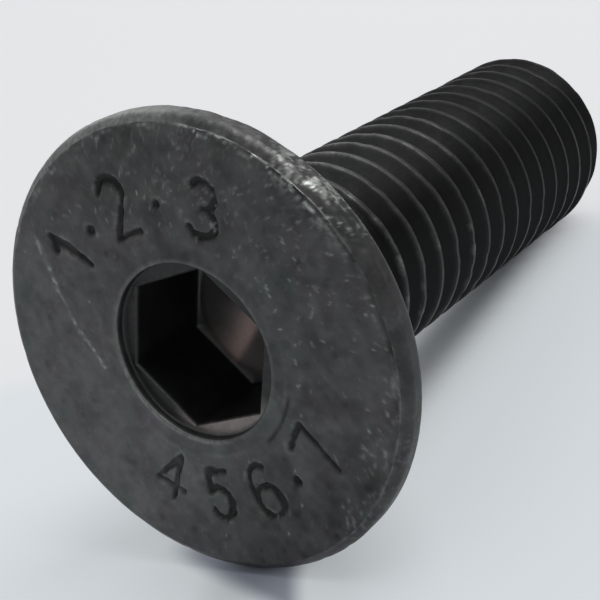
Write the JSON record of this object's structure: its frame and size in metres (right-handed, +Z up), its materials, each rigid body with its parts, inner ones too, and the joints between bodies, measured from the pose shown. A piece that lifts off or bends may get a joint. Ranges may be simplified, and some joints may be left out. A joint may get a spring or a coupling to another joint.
{
  "type": "countersunk socket screw",
  "caption": "Short countersunk machine screw with a flat head, a hexagon socket in a round mouth recess and a coarse metric thread cut right up to the neck, lying at rest.",
  "frame": {"origin": "bottom centre of the bounding box of the screw as it lies: the floor is Z = 0", "axes": "+Z up; the screw's axis lies in the XZ plane and runs from the head at -X to the point at +X, falling by 9.3 degrees, because it rests on its head rim and on the last crest of its thread"},
  "size_m": [0.0168, 0.0098, 0.0096],
  "materials": {
    "black_steel": "satin black oxide, worn bright at the rim"
  },
  "bodies": {
    "root": {"screw": "black_steel"}
  },
  "joints": []
}
